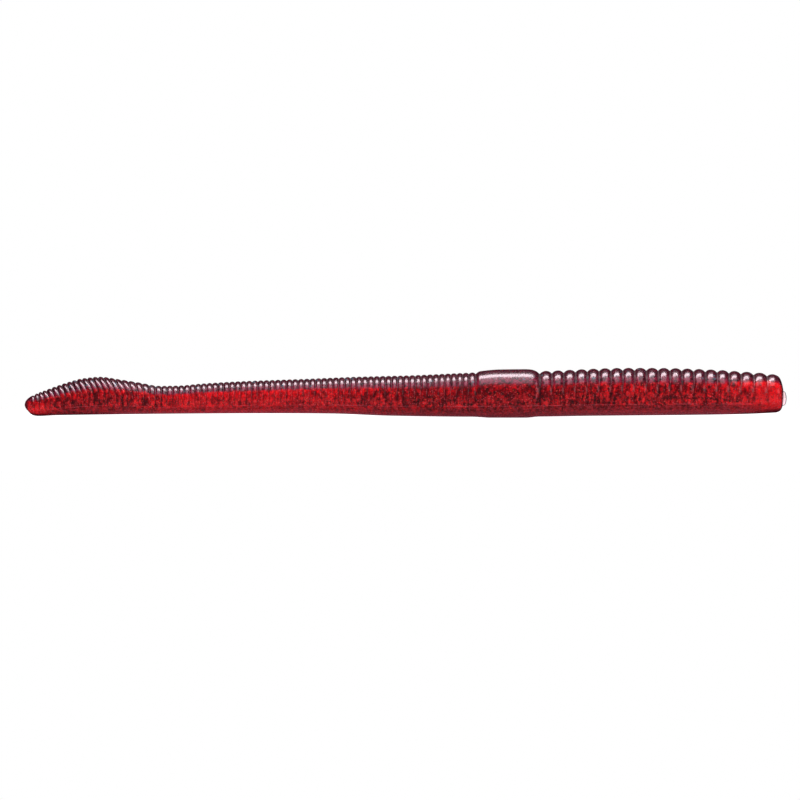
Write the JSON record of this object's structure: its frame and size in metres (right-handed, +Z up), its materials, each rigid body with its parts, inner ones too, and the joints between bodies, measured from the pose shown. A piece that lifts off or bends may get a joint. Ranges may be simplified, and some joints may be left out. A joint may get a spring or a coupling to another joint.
{
  "type": "soft plastic fishing worm",
  "caption": "Straight soft plastic worm lure: slightly swollen tail, fine ringed rear body, smooth collar, coarse ringed front body and a blunt nose; it bends along its whole length.",
  "frame": {"origin": "middle of the length, on the flat belly, in the plane of symmetry", "axes": "+X towards the blunt nose, -X towards the tail tip, +Z up through the back, Y across the body"},
  "size_m": [0.1656, 0.011, 0.0106],
  "materials": {
    "plastisol": "gloss"
  },
  "bodies": {
    "tail_tip": {"tail_tip": "plastisol"},
    "tail_bulb_1": {"tail_bulb_1": "plastisol"},
    "tail_bulb_2": {"tail_bulb_2": "plastisol"},
    "tail_bulb_3": {"tail_bulb_3": "plastisol"},
    "tail_bulb_4": {"tail_bulb_4": "plastisol"},
    "rear_rings_01": {"rear_rings_01": "plastisol"},
    "rear_rings_02": {"rear_rings_02": "plastisol"},
    "rear_rings_03": {"rear_rings_03": "plastisol"},
    "rear_rings_04": {"rear_rings_04": "plastisol"},
    "rear_rings_05": {"rear_rings_05": "plastisol"},
    "rear_rings_06": {"rear_rings_06": "plastisol"},
    "rear_rings_07": {"rear_rings_07": "plastisol"},
    "rear_rings_08": {"rear_rings_08": "plastisol"},
    "rear_rings_09": {"rear_rings_09": "plastisol"},
    "rear_rings_10": {"rear_rings_10": "plastisol"},
    "rear_rings_11": {"rear_rings_11": "plastisol"},
    "rear_rings_12": {"rear_rings_12": "plastisol"},
    "rear_rings_13": {"rear_rings_13": "plastisol"},
    "rear_rings_14": {"rear_rings_14": "plastisol"},
    "collar": {"collar": "plastisol"},
    "front_rings_1": {"front_rings_1": "plastisol"},
    "front_rings_2": {"front_rings_2": "plastisol"},
    "front_rings_3": {"front_rings_3": "plastisol"},
    "front_rings_4": {"front_rings_4": "plastisol"},
    "front_rings_5": {"front_rings_5": "plastisol"},
    "front_rings_6": {"front_rings_6": "plastisol"},
    "front_rings_7": {"front_rings_7": "plastisol"},
    "front_rings_8": {"front_rings_8": "plastisol"},
    "nose": {"nose": "plastisol"}
  },
  "joints": [
    {"name": "flex_01_side", "type": "hinge", "parent": "tail_bulb_1", "child": "tail_tip", "pos_m": [-0.07708, 0, 0.00284], "axis": [0, 0.0087, -1], "range_deg": [-12, 12], "stiffness_Nm_per_rad": 0.000784},
    {"name": "flex_02_lift", "type": "hinge", "parent": "tail_bulb_2", "child": "tail_bulb_1", "pos_m": [-0.07233, 0, 0.00359], "axis": [0, 1, 0.0087], "range_deg": [-12, 12], "stiffness_Nm_per_rad": 0.00203},
    {"name": "flex_03_side", "type": "hinge", "parent": "tail_bulb_3", "child": "tail_bulb_2", "pos_m": [-0.06754, 0, 0.00389], "axis": [0, 0.0087, -1], "range_deg": [-12, 12], "stiffness_Nm_per_rad": 0.00281},
    {"name": "flex_04_lift", "type": "hinge", "parent": "tail_bulb_4", "child": "tail_bulb_3", "pos_m": [-0.06274, 0, 0.00374], "axis": [0, 1, 0.0087], "range_deg": [-12, 12], "stiffness_Nm_per_rad": 0.00226},
    {"name": "flex_05_side", "type": "hinge", "parent": "rear_rings_01", "child": "tail_bulb_4", "pos_m": [-0.05791, 0, 0.00335], "axis": [0, 0.0087, -1], "range_deg": [-12, 12], "stiffness_Nm_per_rad": 0.00141},
    {"name": "flex_06_lift", "type": "hinge", "parent": "rear_rings_02", "child": "rear_rings_01", "pos_m": [-0.05305, 0, 0.00307], "axis": [0, 1, 0.0087], "range_deg": [-12, 12], "stiffness_Nm_per_rad": 0.000903},
    {"name": "flex_07_side", "type": "hinge", "parent": "rear_rings_03", "child": "rear_rings_02", "pos_m": [-0.04816, 0, 0.00303], "axis": [0, 0.0087, -1], "range_deg": [-12, 12], "stiffness_Nm_per_rad": 0.000899},
    {"name": "flex_08_lift", "type": "hinge", "parent": "rear_rings_04", "child": "rear_rings_03", "pos_m": [-0.04326, 0, 0.00316], "axis": [0, 1, 0.0087], "range_deg": [-12, 12], "stiffness_Nm_per_rad": 0.00111},
    {"name": "flex_09_side", "type": "hinge", "parent": "rear_rings_05", "child": "rear_rings_04", "pos_m": [-0.03832, 0, 0.0033], "axis": [0, 0.0087, -1], "range_deg": [-12, 12], "stiffness_Nm_per_rad": 0.00132},
    {"name": "flex_10_lift", "type": "hinge", "parent": "rear_rings_06", "child": "rear_rings_05", "pos_m": [-0.03336, 0, 0.00342], "axis": [0, 1, 0.0087], "range_deg": [-12, 12], "stiffness_Nm_per_rad": 0.00151},
    {"name": "flex_11_side", "type": "hinge", "parent": "rear_rings_07", "child": "rear_rings_06", "pos_m": [-0.02838, 0, 0.0035], "axis": [0, 0.0087, -1], "range_deg": [-12, 12], "stiffness_Nm_per_rad": 0.00165},
    {"name": "flex_12_lift", "type": "hinge", "parent": "rear_rings_08", "child": "rear_rings_07", "pos_m": [-0.02337, 0, 0.0036], "axis": [0, 1, 0.0087], "range_deg": [-12, 12], "stiffness_Nm_per_rad": 0.0018},
    {"name": "flex_13_side", "type": "hinge", "parent": "rear_rings_09", "child": "rear_rings_08", "pos_m": [-0.01833, 0, 0.00372], "axis": [0, 0.0087, -1], "range_deg": [-12, 12], "stiffness_Nm_per_rad": 0.00208},
    {"name": "flex_14_lift", "type": "hinge", "parent": "rear_rings_10", "child": "rear_rings_09", "pos_m": [-0.01327, 0, 0.00386], "axis": [0, 1, 0.0087], "range_deg": [-12, 12], "stiffness_Nm_per_rad": 0.00241},
    {"name": "flex_15_side", "type": "hinge", "parent": "rear_rings_11", "child": "rear_rings_10", "pos_m": [-0.00818, 0, 0.00401], "axis": [0, 0.0087, -1], "range_deg": [-12, 12], "stiffness_Nm_per_rad": 0.00277},
    {"name": "flex_16_lift", "type": "hinge", "parent": "rear_rings_12", "child": "rear_rings_11", "pos_m": [-0.00306, 0, 0.00415], "axis": [0, 1, 0.0087], "range_deg": [-12, 12], "stiffness_Nm_per_rad": 0.00318},
    {"name": "flex_17_side", "type": "hinge", "parent": "rear_rings_13", "child": "rear_rings_12", "pos_m": [0.00208, 0, 0.0043], "axis": [0, 0.0087, -1], "range_deg": [-12, 12], "stiffness_Nm_per_rad": 0.00363},
    {"name": "flex_18_lift", "type": "hinge", "parent": "rear_rings_14", "child": "rear_rings_13", "pos_m": [0.00724, 0, 0.00445], "axis": [0, 1, 0.0087], "range_deg": [-12, 12], "stiffness_Nm_per_rad": 0.00413},
    {"name": "flex_19_side", "type": "hinge", "parent": "collar", "child": "rear_rings_14", "pos_m": [0.01243, 0, 0.0048], "axis": [0, 0.0087, -1], "range_deg": [-12, 12], "stiffness_Nm_per_rad": 0.00464},
    {"name": "flex_20_lift", "type": "hinge", "parent": "collar", "child": "front_rings_1", "pos_m": [0.03178, 0, 0.00499], "axis": [0, -1, -0.0087], "range_deg": [-12, 12], "stiffness_Nm_per_rad": 0.00574},
    {"name": "flex_21_side", "type": "hinge", "parent": "front_rings_1", "child": "front_rings_2", "pos_m": [0.03691, 0, 0.00492], "axis": [0, -0.0087, 1], "range_deg": [-12, 12], "stiffness_Nm_per_rad": 0.00627},
    {"name": "flex_22_lift", "type": "hinge", "parent": "front_rings_2", "child": "front_rings_3", "pos_m": [0.04204, 0, 0.00495], "axis": [0, -1, -0.0087], "range_deg": [-12, 12], "stiffness_Nm_per_rad": 0.00641},
    {"name": "flex_23_side", "type": "hinge", "parent": "front_rings_3", "child": "front_rings_4", "pos_m": [0.04717, 0, 0.00497], "axis": [0, -0.0087, 1], "range_deg": [-12, 12], "stiffness_Nm_per_rad": 0.00656},
    {"name": "flex_24_lift", "type": "hinge", "parent": "front_rings_4", "child": "front_rings_5", "pos_m": [0.0523, 0, 0.00495], "axis": [0, -1, -0.0087], "range_deg": [-12, 12], "stiffness_Nm_per_rad": 0.00639},
    {"name": "flex_25_side", "type": "hinge", "parent": "front_rings_5", "child": "front_rings_6", "pos_m": [0.05743, 0, 0.0049], "axis": [0, -0.0087, 1], "range_deg": [-12, 12], "stiffness_Nm_per_rad": 0.00615},
    {"name": "flex_26_lift", "type": "hinge", "parent": "front_rings_6", "child": "front_rings_7", "pos_m": [0.06256, 0, 0.00483], "axis": [0, -1, -0.0087], "range_deg": [-12, 12], "stiffness_Nm_per_rad": 0.00583},
    {"name": "flex_27_side", "type": "hinge", "parent": "front_rings_7", "child": "front_rings_8", "pos_m": [0.06769, 0, 0.00468], "axis": [0, -0.0087, 1], "range_deg": [-12, 12], "stiffness_Nm_per_rad": 0.00517},
    {"name": "flex_28_lift", "type": "hinge", "parent": "front_rings_8", "child": "nose", "pos_m": [0.07287, 0, 0.00441], "axis": [0, -1, -0.0087], "range_deg": [-12, 12], "stiffness_Nm_per_rad": 0.00302}
  ]
}
